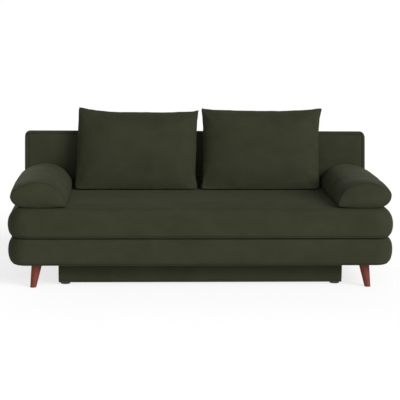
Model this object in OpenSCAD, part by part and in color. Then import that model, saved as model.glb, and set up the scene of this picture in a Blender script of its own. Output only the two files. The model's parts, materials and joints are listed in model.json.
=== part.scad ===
/* [Overall] */
// Width over the padded rolls
sofa_w = 1996; // [1400:2:2400]
// Height of the seat's top
seat_top = 430; // [400:1:480]
// Height of the base frame's underside, which is the leg height
base_bottom = 120; // [100:1:135]

/* [Seat] */
// Depth of the seat roll, front to rear
seat_d = 730; // [600:1:900]
// Thickness of the seat roll
seat_t = 166; // [140:1:190]
// Number of sprung slats
slat_count = 12; // [8:1:16]
// Width of one slat
slat_w = 60; // [40:1:70]
// Thickness of one slat
slat_t = 8; // [6:1:10]

/* [Rolls] */
// Padding thickness of the rolls at the front and ends
pad_t = 78; // [60:1:90]
// Part of the padding that bulges
bulge = 43; // [25:1:50]
// Thickness of the fabric
skin = 1.6; // [1:0.1:2]

/* [Base] */
// Gap between the base roll and the seat roll
roll_gap = 4; // [3:0.5:8]
// Depth of the base frame behind the seat's rear edge
base_extra = 85; // [80:1:86]
// Thickness of the timber rails
rail_t = 22; // [18:1:26]

/* [Backrest] */
// Thickness of the backrest panel
back_t = 130; // [120:1:140]
// Length of the backrest above its hinge axis
back_len = 364; // [320:1:450]
// Lean of the backrest at rest
back_lean = 10; // [5:1:15]
// Distance from the seat's end to the backrest's end
back_inset = 36; // [30:1:60]
// Gap between the seat's rear edge and the backrest's round edge
hinge_gap = 6; // [5:1:10]
// Rounding of the backrest's top edges
back_round = 14; // [8:1:20]

/* [Hinges] */
// Diameter of the hinge pin
pin_d = 12; // [10:1:14]
// Radial clearance of the pin in the moving plates
pin_clearance = 0.05; // [0.02:0.01:0.1]
// Thickness of the two moving plates
plate_t = 4; // [3:0.5:5]
// Thickness of the fixed bracket
bracket_t = 5; // [4:0.5:6]
// Length of the ratchet drum along the pin
drum_l = 12; // [10:1:14]
// Diameter of the ratchet drum
drum_d = 80; // [70:1:90]
// Radius of the plates' round ends
plate_r = 22; // [20:1:24]

/* [Bedding box] */
// Distance from the sofa's end to the bedding box
box_inset = 258; // [140:1:400]
// Distance from the rear rail to the box's back
box_rear_gap = 91; // [20:1:200]
// Distance from the front roll to the box front
box_setback = 130; // [122:1:150]
// Thickness of the box panels
panel_t = 12; // [9:1:15]
// Height of the plastic feet
foot_h = 12; // [10:1:20]
// Diameter of the plastic feet
foot_d = 54; // [40:1:60]

/* [Legs] */
// Diameter of a leg at its top
leg_top_d = 54; // [46:1:58]
// Diameter of a leg at the floor
leg_foot_d = 31; // [25:1:36]
// Distance of a leg's top centre from the sofa's end
leg_inset = 147; // [135:1:170]
// Distance of a leg's top centre from the front
leg_setback = 92; // [85:1:110]
// How far a leg's foot stands outward of its top
leg_splay_x = 18; // [0:1:25]
// How far a front leg's foot stands forward of its top
leg_splay_y = 22; // [0:1:30]

/* [Cushions] */
// Room between a back pillow and the bolster beside it
pillow_end_room = 11; // [9:1:80]
// Top of the pillows above the seat
pillow_h = 440; // [380:1:480]
// Depth of a pillow at its thickest
pillow_t = 200; // [150:1:210]
// Gap between the two pillows
pillow_gap = 6; // [4:1:20]
// Sideways place of the pair of pillows
pillow_shift = 8; // [-8:1:8]
// Width of an end bolster
bolster_w = 286; // [220:1:288]
// Height of an end bolster
bolster_h = 126; // [100:1:140]

/* [Hidden] */

$fn = 64;
eps = 0.01;                                  // overlap of a cutting body past a face
fit = 0.2;                                   // gap between loose pieces that lie together
cloth_gap = 0.5;                             // gap under a loose cushion

// heights
base_top = seat_top - seat_t - roll_gap;     // top of the base roll
seat_bottom = seat_top - seat_t;             // underside of the seat roll

// plan, with v measured back from the front of the rolls
half_w = sofa_w / 2;
pad_x = half_w - pad_t;                      // inner face of the end padding
seat_rear = seat_d;
base_rear = seat_d + base_extra;
axis_v = seat_rear + hinge_gap + back_t / 2;
axis_z = seat_top - back_t / 2;
sofa_d = axis_v + cos(back_lean) * back_t / 2 + sin(back_lean) * back_len;
back_half_w = half_w - back_inset;

// hinge stack, from the bracket inward
bracket_x = pad_x;                           // bracket lies on the base end rail's outer face
seat_plate_x = bracket_x - 1 - plate_t;      // seat plate lies on the seat end rail's outer face
drum_x = seat_plate_x - drum_l;
back_plate_x = drum_x - fit - plate_t;
notch_x = back_plate_x - fit;                // lower backrest roll ends here
stile_x = notch_x - skin - fit - rail_t;     // inner face of the outer stile
pin_r = pin_d / 2;
pin_bore_r = pin_r + pin_clearance;
bracket_disc_r = 25;
bracket_stem_w = 39;
notch_u = 72;                                // the backrest is full width above this
pin_head_t = 6;
pin_head_r = 12;
screw_r = 3;
screw_head_r = 6;
screw_head_t = 3;
screw_l = 25;

// seat frame
seat_rail_z = seat_bottom + 3;
seat_rail_h = 54;
slat_z = seat_rail_z + seat_rail_h + 3;
holder_wall = 3;
holder_l = 34;
foam_bottom = slat_z + slat_t + holder_wall;
seat_hem = 50;                               // fabric turned under the seat frame
seat_rail_rear = seat_rear - 4;
plate_foot = [seat_rear - 90, seat_bottom + 32];

// backrest frame, in the leaning frame whose origin is the hinge axis
frame_t = 36;
frame_low = -24;
frame_high = back_len - 14;
rail_h = 50;
stile_mid_x = 290;
web_t = 1.8;
web_w = 60;
web_count = 8;
back_plate_l = 140;

// box
box_half = half_w - box_inset;
box_rear = base_rear - rail_t - box_rear_gap;
box_top = base_top - 10;
box_inner_x = box_half - skin - panel_t;
foot_edge = 32;

// legs
plate_h = 2.8;
leg_top_z = base_bottom - plate_h - fit;
leg_plate_w = 68;
leg_bolt_r = 4;
leg_bolt_l = 32;
leg_x = half_w - leg_inset;
rear_leg_v = base_rear - 30;

// cushions
pillow_r_front = pillow_t * 0.45;
pillow_r_rear = 30;
pillow_r_top = 28;
bolster_overhang = 60;                       // the bolster's outer edge stands this far out of the frame
bolster_x = pad_x + bolster_overhang - bolster_w;
pillow_w = bolster_x - pillow_end_room - pillow_gap / 2;
bolster_front = 14;
bolster_rear = seat_rear + 8;

// the model is drawn with v = 0 at the front and then centred
module centred() { translate([0, -sofa_d / 2, 0]) children(); }
module both_ends() { for (end = [0, 1]) mirror([end, 0, 0]) children(); }
module slab(x0, x1, v0, v1, z0, z1) {
    translate([x0, v0, z0]) cube([x1 - x0, v1 - v0, z1 - z0]);
}
module side_plate(x, t) {                    // a drawing in v and z, made t thick along x
    translate([x, 0, 0]) rotate([90, 0, 90]) linear_extrude(t) children();
}
module cross_hole(v, z, r, x0, x1) {
    translate([x0, v, z]) rotate([0, 90, 0]) cylinder(h = x1 - x0, r = r);
}
module link(a, b, r) {                       // flat bar with round ends
    reach = norm(b - a);
    translate(a) circle(r);
    translate(b) circle(r);
    translate(a) rotate(atan2(b[1] - a[1], b[0] - a[0])) translate([0, -r]) square([reach, 2 * r]);
}

// rolls: a profile in s (out of the frame) and z, run round the front and both ends
module roll_profile(z0, z1, inset = 0, inner = 0) {
    half_h = (z1 - z0) / 2;
    r = (bulge * bulge + half_h * half_h) / (2 * bulge);
    intersection() {
        translate([-inner, z0 + inset]) square([pad_t - inset + inner, z1 - z0 - 2 * inset]);
        union() {
            translate([-inner, z0 + inset]) square([inner + eps, z1 - z0 - 2 * inset]);
            translate([pad_t - r, (z0 + z1) / 2]) circle(r - inset, $fn = 128);
        }
    }
}
module front_run() {
    translate([pad_x, pad_t, 0]) rotate([90, 0, -90]) linear_extrude(2 * pad_x) children();
}
module end_run(rear) {
    translate([pad_x, rear, 0]) rotate([90, 0, 0]) linear_extrude(rear - pad_t) children();
}
module corner_run() {
    translate([pad_x, pad_t, 0]) rotate([0, 0, -90]) rotate_extrude(angle = 90, $fn = 96) children();
}
module roll(z0, z1, rear, inset, inner) {
    front_run() roll_profile(z0, z1, inset, inner);
    both_ends() {
        end_run(rear) roll_profile(z0, z1, inset, inner);
        corner_run() roll_profile(z0, z1, inset);
    }
}

// base
base_pad_z = [base_bottom, base_top];
rail_z = [base_bottom + skin + fit, base_top - skin - fit];
screw_z = [for (i = [0:2]) rail_z[0] + 24 + 40 * i];
bracket_v = base_rear - bracket_stem_w;

module base_front_rail() {
    color("burlywood") centred() slab(-pad_x, pad_x, pad_t, pad_t + rail_t, rail_z[0], rail_z[1]);
}
module base_rear_rail() {
    color("burlywood") centred()
        slab(-pad_x, pad_x, base_rear - rail_t, base_rear, rail_z[0], rail_z[1]);
}
module base_end_rails() {
    color("burlywood") centred() both_ends() difference() {
        slab(pad_x - rail_t, pad_x, pad_t + rail_t, base_rear - rail_t, rail_z[0], rail_z[1]);
        for (z = screw_z) cross_hole(bracket_v + 9, z, screw_r, pad_x - rail_t - 1, pad_x + 1);
    }
}
module base_cross_rails() {
    color("burlywood") centred() both_ends()
        slab(box_half + fit, box_half + fit + rail_t, pad_t + rail_t, base_rear - rail_t,
            rail_z[1] - 80, rail_z[1]);
}
module base_front_pad() {
    color("khaki") centred() front_run() roll_profile(base_pad_z[0], base_pad_z[1], skin + fit);
}
module bracket_room() {                      // pocket for the bracket and its screw heads
    slab(pad_x - 1, pad_x + bracket_t + screw_head_t + 1, bracket_v - 1, base_rear + 5,
        base_bottom + skin + fit, base_top + 1);
}
module base_end_pads() {
    color("khaki") centred() both_ends() difference() {
        union() {
            end_run(base_rear) roll_profile(base_pad_z[0], base_pad_z[1], skin + fit);
            corner_run() roll_profile(base_pad_z[0], base_pad_z[1], skin + fit);
        }
        bracket_room();
    }
}
module base_cover() {
    color("darkolivegreen") centred() difference() {
        roll(base_pad_z[0], base_pad_z[1], base_rear + skin, 0, rail_t);
        difference() {
            roll(base_pad_z[0], base_pad_z[1], base_rear, skin, rail_t + 1);
            slab(-pad_x, pad_x, 0, base_rear, base_top - skin, base_top + 1);
        }
        slab(-pad_x, pad_x, base_rear, base_rear + 5, base_bottom - 1, base_top + 1);
        both_ends() slab(pad_x - rail_t - 1, pad_x + bracket_t + screw_head_t + 1, bracket_v - 1,
            base_rear + 5, base_top - skin - 1, base_top + 1);
    }
}
module base_back_cloth() {
    color("black") centred() slab(-pad_x, pad_x, base_rear, base_rear + skin, rail_z[0], rail_z[1]);
}

// bedding box
module box_front() {
    color("burlywood") centred() slab(-box_half + skin, box_half - skin, box_setback + skin,
        box_setback + skin + panel_t, foot_h + panel_t, box_top);
}
module box_back() {
    color("burlywood") centred() slab(-box_half + skin, box_half - skin, box_rear - panel_t,
        box_rear, foot_h + panel_t, box_top);
}
module box_side() {
    color("burlywood") centred() slab(box_inner_x, box_half - skin, box_setback + skin + panel_t,
        box_rear - panel_t, foot_h + panel_t, box_top);
}
module box_side_left() { mirror([1, 0, 0]) box_side(); }
module box_side_right() { box_side(); }
module box_floor() {
    color("burlywood") centred() slab(-box_half + skin, box_half - skin, box_setback + skin,
        box_rear, foot_h, foot_h + panel_t);
}
module box_cover() {
    color("darkolivegreen") centred() difference() {
        slab(-box_half, box_half, box_setback, box_rear, foot_h + 1, base_bottom - 2);
        slab(-box_half + skin, box_half - skin, box_setback + skin, box_rear + 1, 0, base_bottom);
    }
}
module box_feet() {
    color("black") centred() both_ends()
        for (v = [box_setback + foot_edge, box_rear - foot_edge])
            translate([box_half - foot_edge, v, 0]) cylinder(h = foot_h, r1 = foot_d / 2 - 2, r2 = foot_d / 2);
}

// legs
module leg(x_sign, top_v, splay_y) {
    top = [x_sign * leg_x, top_v, leg_top_z];
    foot = [x_sign * (leg_x + leg_splay_x), top_v + splay_y, 0];
    run = top - foot;
    length = norm(run);
    extra = 20;
    taper = (leg_top_d - leg_foot_d) / 2 / length;
    tilt = acos(run[2] / length);
    heading = atan2(run[1], run[0]);
    color("sienna") centred() difference() {
        intersection() {
            translate(foot) rotate([0, tilt, heading]) translate([0, 0, -extra]) rotate(45)
                cylinder(h = length + 2 * extra, r1 = leg_foot_d / 2 - taper * extra,
                    r2 = leg_top_d / 2 + taper * extra);
            translate([top[0] - 100, top[1] - 100, 0]) cube([200, 200, leg_top_z]);
        }
        translate([top[0], top[1], leg_top_z - leg_bolt_l]) cylinder(h = leg_bolt_l + 1, r = leg_bolt_r);
    }
}
module leg_front_left() { leg(-1, leg_setback, -leg_splay_y); }
module leg_front_right() { leg(1, leg_setback, -leg_splay_y); }
module leg_rear_left() { leg(-1, rear_leg_v, leg_splay_y); }
module leg_rear_right() { leg(1, rear_leg_v, leg_splay_y); }
module leg_plates() {
    color("dimgray") centred() both_ends() for (v = [leg_setback, rear_leg_v])
        difference() {
            translate([leg_x - leg_plate_w / 2, v - leg_plate_w / 2, leg_top_z])
                cube([leg_plate_w, leg_plate_w, plate_h]);
            translate([leg_x, v, leg_top_z - 1]) cylinder(h = plate_h + 2, r = leg_bolt_r);
        }
}
module leg_bolts() {
    color("silver") centred() both_ends() for (v = [leg_setback, rear_leg_v])
        translate([leg_x, v, leg_top_z - leg_bolt_l + 1])
            cylinder(h = leg_bolt_l + plate_h - 1, r = leg_bolt_r);
}

// hinges
module hinge_brackets() {
    color("dimgray") centred() both_ends() difference() {
        side_plate(bracket_x, bracket_t) difference() {
            union() {
                translate([axis_v, axis_z]) circle(bracket_disc_r);
                translate([bracket_v, rail_z[0] + 4])
                    square([bracket_stem_w - fit, axis_z - rail_z[0] - 4]);
            }
            translate([axis_v, axis_z]) circle(pin_r);
        }
        for (z = screw_z) cross_hole(bracket_v + 9, z, screw_r, bracket_x - 1, bracket_x + bracket_t + 1);
    }
}
module hinge_pins() {
    color("silver") centred() both_ends() {
        cross_hole(axis_v, axis_z, pin_r, notch_x - skin - 14, bracket_x + bracket_t);
        cross_hole(axis_v, axis_z, pin_head_r, bracket_x + bracket_t, bracket_x + bracket_t + pin_head_t);
    }
}
module side_screw(v, z, head_x) {
    cross_hole(v, z, screw_r, head_x - screw_l, head_x);
    cross_hole(v, z, screw_head_r, head_x, head_x + screw_head_t);
}
module bracket_screws() {
    color("silver") centred() both_ends()
        for (z = screw_z) side_screw(bracket_v + 9, z, bracket_x + bracket_t);
}
module seat_buffers() {
    color("black") centred() both_ends() for (v = [pad_t + rail_t / 2, base_rear - rail_t * 5])
        translate([pad_x - 60 * (v < base_rear / 2 ? 1 : 0) - rail_t / 2, v, base_top])
            cylinder(h = roll_gap - fit, r = 9);
}

// seat
module seat_front_rail() {
    color("burlywood") centred() slab(-seat_plate_x, seat_plate_x, pad_t, pad_t + rail_t,
        seat_rail_z, seat_rail_z + seat_rail_h);
}
module seat_rear_rail() {
    color("burlywood") centred() slab(-seat_plate_x, seat_plate_x, seat_rail_rear - rail_t,
        seat_rail_rear, seat_rail_z, seat_rail_z + seat_rail_h);
}
seat_screw_v = [for (i = [0:1]) plate_foot[0] - 10 + 40 * i];
module seat_end_rails() {
    color("burlywood") centred() both_ends() difference() {
        slab(seat_plate_x - rail_t, seat_plate_x, pad_t + rail_t, seat_rail_rear - rail_t,
            seat_rail_z, seat_rail_z + seat_rail_h);
        for (v = seat_screw_v)
            cross_hole(v, plate_foot[1], screw_r, seat_plate_x - rail_t - 1, seat_plate_x + 1);
    }
}
slat_pitch = 2 * (seat_plate_x - rail_t) / slat_count;
function slat_x(i) = -seat_plate_x + rail_t + slat_pitch * (i + 0.5);
slat_front = pad_t + 8;
slat_rear = seat_rail_rear - 8;
module seat_slats() {
    color("wheat") centred() for (i = [0:slat_count - 1])
        slab(slat_x(i) - slat_w / 2, slat_x(i) + slat_w / 2, slat_front, slat_rear, slat_z, slat_z + slat_t);
}
module slat_holders() {
    color("black") centred() for (i = [0:slat_count - 1]) difference() {
        union() for (v = [slat_front - holder_wall, slat_rear + holder_wall - holder_l])
            slab(slat_x(i) - slat_w / 2 - holder_wall, slat_x(i) + slat_w / 2 + holder_wall, v,
                v + holder_l, slat_z - holder_wall, slat_z + slat_t + holder_wall - fit);
        slab(slat_x(i) - slat_w / 2, slat_x(i) + slat_w / 2, slat_front, slat_rear, slat_z, slat_z + slat_t);
    }
}
module plate_room() {                        // way through the padding for the seat plates
    slab(seat_plate_x - 1, pad_x, seat_rear - 60, seat_rear + 5, seat_rail_z, axis_z - 3);
}
module seat_foam() {
    color("khaki") centred() difference() {
        slab(-pad_x, pad_x, pad_t, seat_rear - skin - fit, foam_bottom, seat_top - skin - fit);
        both_ends() plate_room();
    }
}
module seat_front_pad() {
    color("khaki") centred() front_run() roll_profile(seat_bottom, seat_top, skin + fit);
}
module seat_end_pads() {
    color("khaki") centred() both_ends() {
        end_run(seat_rear - skin - fit) roll_profile(seat_bottom, seat_top, skin + fit);
        corner_run() roll_profile(seat_bottom, seat_top, skin + fit);
    }
}
module seat_body(inset) {
    roll(seat_bottom, seat_top, seat_rear - inset, inset, 0);
    slab(-pad_x - eps, pad_x + eps, pad_t - eps, seat_rear - inset, seat_bottom + inset, seat_top - inset);
}
module seat_cover() {
    color("darkolivegreen") centred() difference() {
        seat_body(0);
        seat_body(skin);
        slab(-pad_x + seat_hem, pad_x - seat_hem, pad_t + seat_hem, seat_rear - seat_hem,
            seat_bottom - 1, seat_bottom + skin + 1);
        both_ends() plate_room();
    }
}
module seat_dust_cloth() {
    color("black") centred() slab(-pad_x + seat_hem + fit, pad_x - seat_hem - fit, pad_t + seat_hem + fit,
        seat_rear - seat_hem - fit, seat_bottom, seat_bottom + skin);
}
module seat_plates() {
    color("dimgray") centred() both_ends() difference() {
        side_plate(seat_plate_x, plate_t) difference() {
            link(plate_foot, [axis_v, axis_z], plate_r);
            translate([axis_v, axis_z]) circle(pin_bore_r);
        }
        for (v = seat_screw_v)
            cross_hole(v, plate_foot[1], screw_r, seat_plate_x - 1, seat_plate_x + plate_t + 1);
    }
}
module ratchet_drums() {
    color("dimgray") centred() both_ends() side_plate(drum_x, drum_l) translate([axis_v, axis_z])
        difference() {
            circle(drum_d / 2);
            circle(pin_bore_r);
        }
}
module seat_screws() {                       // countersunk flush, so they clear the padding
    color("silver") centred() both_ends() for (v = seat_screw_v)
        cross_hole(v, plate_foot[1], screw_r, seat_plate_x + plate_t - screw_l, seat_plate_x + plate_t);
}

// backrest, drawn upright about its hinge axis and then leaned
module leaning() { centred() translate([0, axis_v, axis_z]) rotate([-back_lean, 0, 0]) children(); }
module back_profile(inset) {
    half_t = back_t / 2 - inset;
    top = back_len - inset;
    corner_r = back_round - inset;
    circle(half_t, $fn = 128);
    translate([-half_t, 0]) square([2 * half_t, top - corner_r]);
    translate([-half_t + corner_r, 0]) square([2 * (half_t - corner_r), top]);
    for (side = [-1, 1]) translate([side * (half_t - corner_r), top - corner_r]) circle(corner_r);
}
module back_body(inset) {
    rotate([90, 0, 90]) translate([0, 0, -notch_x + inset])
        linear_extrude(2 * (notch_x - inset)) back_profile(inset);
    rotate([90, 0, 90]) translate([0, 0, -back_half_w + inset])
        linear_extrude(2 * (back_half_w - inset)) intersection() {
            back_profile(inset);
            translate([-back_t, notch_u + inset]) square([2 * back_t, back_len]);
        }
}
module plate_pocket() {
    both_ends() slab(notch_x - 1, drum_x + 1, -plate_r - 1, plate_r + 1, notch_u - 2,
        back_plate_l + plate_r + 2);
}
module back_foam(front) {
    y0 = front ? -back_t : 0;
    difference() {
        intersection() {
            back_body(skin + fit);
            slab(-half_w, half_w, y0, y0 + back_t, -back_t, back_len);
        }
        slab(-notch_x - 1, notch_x + 1, -frame_t / 2 - web_t - fit, frame_t / 2 + fit, frame_low - fit,
            frame_high + fit);
        plate_pocket();
    }
}
module back_bottom_rail() {
    color("burlywood") leaning()
        slab(-stile_x, stile_x, -frame_t / 2, frame_t / 2, frame_low, frame_low + rail_h);
}
module back_top_rail() {
    color("burlywood") leaning()
        slab(-stile_x, stile_x, -frame_t / 2, frame_t / 2, frame_high - rail_h, frame_high);
}
back_screw_u = [for (i = [0:1]) back_plate_l - 40 * i];
module back_stiles() {
    color("burlywood") leaning() both_ends() {
        difference() {
            slab(stile_x, stile_x + rail_t, -frame_t / 2, frame_t / 2, frame_low, frame_high);
            cross_hole(0, 0, pin_r + 1, stile_x - 1, stile_x + rail_t + 1);
            for (u = back_screw_u) cross_hole(0, u, screw_r, stile_x - 1, stile_x + rail_t + 1);
        }
        slab(stile_mid_x, stile_mid_x + rail_t, -frame_t / 2, frame_t / 2, frame_low + rail_h,
            frame_high - rail_h);
    }
}
module back_webbing() {
    pitch = 2 * stile_x / web_count;
    color("dimgray") leaning() for (i = [0:web_count - 1])
        translate([-stile_x + pitch * (i + 0.5) - web_w / 2, -frame_t / 2 - web_t, frame_low])
            cube([web_w, web_t, frame_high - frame_low]);
}
module back_foam_front() { color("khaki") leaning() back_foam(true); }
module back_foam_rear() { color("khaki") leaning() back_foam(false); }
module back_cover() {
    color("darkolivegreen") leaning() difference() {
        back_body(0);
        back_body(skin);
        both_ends() slab(notch_x - skin - 1, notch_x + 1, -frame_t / 2, frame_t / 2, -pin_r - 2, pin_r + 2);
        both_ends() for (u = back_screw_u) cross_hole(0, u, screw_r + 0.5, notch_x - 5, notch_x + 5);
        plate_pocket();
    }
}
module back_plates() {
    color("dimgray") leaning() both_ends() difference() {
        side_plate(back_plate_x, plate_t) difference() {
            link([0, 0], [0, back_plate_l], plate_r);
            circle(pin_bore_r);
        }
        for (u = back_screw_u) cross_hole(0, u, screw_r, back_plate_x - 1, back_plate_x + plate_t + 1);
    }
}
module back_screws() {                       // countersunk flush with the plate
    color("silver") leaning() both_ends() for (u = back_screw_u)
        cross_hole(0, u, screw_r, back_plate_x + plate_t - screw_l, back_plate_x + plate_t);
}

// loose cushions
pillow_clear = back_t / 2 + cloth_gap;       // distance of a pillow's back from the hinge axis plane
function against_back(z, r) =                // v of a circle of radius r that lies on the backrest
    axis_v - (pillow_clear + r - (z - axis_z) * sin(back_lean)) / cos(back_lean);
module pillow_solid(inset) {
    floor_z = seat_top + cloth_gap;
    rear_z = floor_z + pillow_r_rear;
    top_z = seat_top + pillow_h - pillow_r_top;
    front_z = floor_z + pillow_r_front;
    rear_v = against_back(rear_z, pillow_r_rear);
    front_v = rear_v + pillow_r_rear - pillow_t + pillow_r_front;
    translate([-pillow_w / 2 + inset, 0, 0]) rotate([90, 0, 90]) linear_extrude(pillow_w - 2 * inset)
        hull() {
            translate([rear_v, rear_z]) circle(pillow_r_rear - inset, $fn = 32);
            translate([front_v, front_z]) circle(pillow_r_front - inset, $fn = 32);
            translate([against_back(top_z, pillow_r_top), top_z]) circle(pillow_r_top - inset, $fn = 32);
        }
}
module pillow_place(side) {
    centred() translate([pillow_shift + side * (pillow_w + pillow_gap) / 2, 0, 0]) children();
}
module pillow_cover(side) {
    color("darkolivegreen") pillow_place(side) difference() {
        pillow_solid(0);
        pillow_solid(skin);
    }
}
module pillow_filling(side) { color("white") pillow_place(side) pillow_solid(skin + fit); }
module pillow_cover_left() { pillow_cover(-1); }
module pillow_cover_right() { pillow_cover(1); }
module pillow_filling_left() { pillow_filling(-1); }
module pillow_filling_right() { pillow_filling(1); }

module bolster_solid(inset) {
    half = bolster_w / 2;
    r = (bolster_h * bolster_h + half * half) / (2 * bolster_h);
    low = seat_top + cloth_gap;
    centred() translate([bolster_x + half, bolster_rear - inset, 0]) rotate([90, 0, 0])
        linear_extrude(bolster_rear - bolster_front - 2 * inset) intersection() {
            translate([0, low + bolster_h - r]) circle(r - inset, $fn = 128);
            translate([-half, low + inset]) square([bolster_w, bolster_h]);
        }
}
module bolster_cover() {
    color("darkolivegreen") difference() {
        bolster_solid(0);
        bolster_solid(skin);
    }
}
module bolster_foam() { color("khaki") bolster_solid(skin + fit); }
module bolster_cover_left() { mirror([1, 0, 0]) bolster_cover(); }
module bolster_cover_right() { bolster_cover(); }
module bolster_foam_left() { mirror([1, 0, 0]) bolster_foam(); }
module bolster_foam_right() { bolster_foam(); }

base_front_rail();
base_rear_rail();
base_end_rails();
base_cross_rails();
base_front_pad();
base_end_pads();
base_cover();
base_back_cloth();
box_front();
box_back();
box_side_left();
box_side_right();
box_floor();
box_cover();
box_feet();
leg_front_left();
leg_front_right();
leg_rear_left();
leg_rear_right();
leg_plates();
leg_bolts();
hinge_brackets();
hinge_pins();
bracket_screws();
seat_buffers();
seat_front_rail();
seat_rear_rail();
seat_end_rails();
seat_slats();
slat_holders();
seat_foam();
seat_front_pad();
seat_end_pads();
seat_cover();
seat_dust_cloth();
seat_plates();
ratchet_drums();
seat_screws();
back_bottom_rail();
back_top_rail();
back_stiles();
back_webbing();
back_foam_front();
back_foam_rear();
back_cover();
back_plates();
back_screws();
pillow_cover_left();
pillow_cover_right();
pillow_filling_left();
pillow_filling_right();
bolster_cover_left();
bolster_cover_right();
bolster_foam_left();
bolster_foam_right();
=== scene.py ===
import json
import math
import bmesh
import bpy
import numpy as np
from mathutils import Matrix, Vector


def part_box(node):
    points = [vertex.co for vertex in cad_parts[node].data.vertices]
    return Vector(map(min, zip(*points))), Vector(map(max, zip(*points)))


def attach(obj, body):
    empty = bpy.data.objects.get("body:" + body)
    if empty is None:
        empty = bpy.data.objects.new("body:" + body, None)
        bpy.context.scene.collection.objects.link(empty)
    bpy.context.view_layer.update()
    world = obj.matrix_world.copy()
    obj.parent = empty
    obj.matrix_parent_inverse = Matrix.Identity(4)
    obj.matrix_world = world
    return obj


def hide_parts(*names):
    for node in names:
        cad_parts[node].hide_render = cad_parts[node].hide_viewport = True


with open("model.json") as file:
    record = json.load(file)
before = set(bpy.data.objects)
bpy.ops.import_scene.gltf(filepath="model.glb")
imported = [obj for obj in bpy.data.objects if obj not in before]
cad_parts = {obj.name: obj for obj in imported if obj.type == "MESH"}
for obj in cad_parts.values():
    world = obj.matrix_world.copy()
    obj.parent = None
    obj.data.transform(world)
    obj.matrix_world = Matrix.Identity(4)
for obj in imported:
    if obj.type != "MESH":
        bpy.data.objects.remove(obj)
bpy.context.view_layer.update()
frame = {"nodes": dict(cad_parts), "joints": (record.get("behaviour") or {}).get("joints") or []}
print("frame loaded")

# places taken from the frame, in metres
hinge = [j for j in frame["joints"] if j["name"] == "back_recline"][0]["pos_m"]
axisY, axisZ = hinge[1], hinge[2]
seatLow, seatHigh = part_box("seat_cover")
baseLow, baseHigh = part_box("base_cover")
boxLow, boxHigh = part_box("box_cover")
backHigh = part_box("back_cover")[1]
frontY, halfWidth = seatLow.y, seatHigh.x
backThick = 2 * (seatHigh.z - axisZ)             # the reclined backrest ends level with the seat
quarter = math.pi / 2


class Wire:                                      # a shader socket that can be used in sums
    def __init__(self, tree, socket):
        self.tree, self.socket = tree, socket

    def math(self, operation, other=None, swap=False):
        node = self.tree.nodes.new("ShaderNodeMath")
        node.operation = operation
        pair = (other, self) if swap else (self, other)
        for place, value in enumerate(pair):
            if isinstance(value, Wire):
                self.tree.links.new(value.socket, node.inputs[place])
            elif value is not None:
                node.inputs[place].default_value = value
        return Wire(self.tree, node.outputs[0])

    def __add__(self, other):
        return self.math("ADD", other)

    def __radd__(self, other):
        return self.math("ADD", other, True)

    def __sub__(self, other):
        return self.math("SUBTRACT", other)

    def __rsub__(self, other):
        return self.math("SUBTRACT", other, True)

    def __mul__(self, other):
        return self.math("MULTIPLY", other)

    def __rmul__(self, other):
        return self.math("MULTIPLY", other, True)


class Nodes:                                     # a node tree and the one way to add to it
    def __init__(self, tree):
        self.tree = tree

    def node(self, kind, settings=None, inputs=None, output=0):
        made = self.tree.nodes.new(kind)
        for key, value in (settings or {}).items():
            if key == "stops":
                ramp = made.color_ramp.elements
                while len(ramp) < len(value):
                    ramp.new(0.5)
                for stop, (place, colour) in zip(ramp, value):
                    stop.position = place
                    stop.color = (*colour, 1)
            else:
                setattr(made, key, value)
        for key, value in (inputs or {}).items():
            self.set(made.inputs[key], value)
        return Wire(self.tree, made.outputs[output] if len(made.outputs) else None)

    def set(self, socket, value):
        if isinstance(value, Wire):
            self.tree.links.new(value.socket, socket)
        else:
            socket.default_value = value

    def ramp(self, value, source, target=(0.0, 1.0)):   # value moved from one range to another
        ends = {"From Min": source[0], "From Max": source[1], "To Min": target[0], "To Max": target[1]}
        return self.node("ShaderNodeMapRange", inputs={"Value": value, **ends})


class Finish(Nodes):                             # one material and its surface
    def __init__(self, name):
        self.material = bpy.data.materials.new(name)
        self.material.use_nodes = True
        super().__init__(self.material.node_tree)
        self.tree.nodes.clear()
        shader = self.node("ShaderNodeBsdfPrincipled")
        self.node("ShaderNodeOutputMaterial", inputs={"Surface": shader})
        self.surface = shader.socket.node

    def give(self, **values):                    # sets the surface's own sockets
        for key, value in values.items():
            self.set(self.surface.inputs[key.replace("_", " ")], value)
        return self

    def place(self, scale=(1, 1, 1)):            # a point on the piece, in metres, times scale
        where = self.node("ShaderNodeTexCoord", output="Object")
        return self.node("ShaderNodeMapping", inputs={"Vector": where, "Scale": scale})

    def noise(self, scale, detail=3, rough=0.5, stretch=(1, 1, 1), warp=0.0):
        return self.node("ShaderNodeTexNoise", inputs={"Vector": self.place(stretch), "Scale": scale,
                         "Detail": detail, "Roughness": rough, "Distortion": warp})

    def mix(self, amount, first, second):
        first, second = (c if isinstance(c, Wire) else (*c, 1) for c in (first, second))
        return self.node("ShaderNodeMix", {"data_type": "RGBA"}, {0: amount, 6: first, 7: second}, 2)

    def bump(self, height, strength, distance, under=None):
        inputs = {"Height": height, "Strength": strength, "Distance": distance}
        if under is not None:
            inputs["Normal"] = under
        return self.node("ShaderNodeBump", inputs=inputs)


def shaded(colour, times, more=0.0):             # a colour made darker or lighter
    return tuple(c * times + more for c in colour)


# what can be changed in the upholstery cloth
clothLook = {
    "deep": (0.0205, 0.0221, 0.0122),            # pile brushed down
    "light": (0.0275, 0.0296, 0.0172),           # pile brushed up
    "brushedScale": 5.5,                         # wide marks left by hands
    "patchScale": 19,                            # smaller marks in them
    "fibreScale": 900,                           # single tufts
    "pileRange": (0.22, 0.62),
    "roughness": (0.95, 0.78),                   # of the deep and of the light pile
    "sheen": (0.62, 0.65, 0.40),
    "sheenWeight": 0.055,
    "sheenRough": 0.4,
    "specular": 0.06,
    "weavePitch": 0.0016,
    "weaveHeight": 0.0006,
    "napHeight": 0.006,
}


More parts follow.
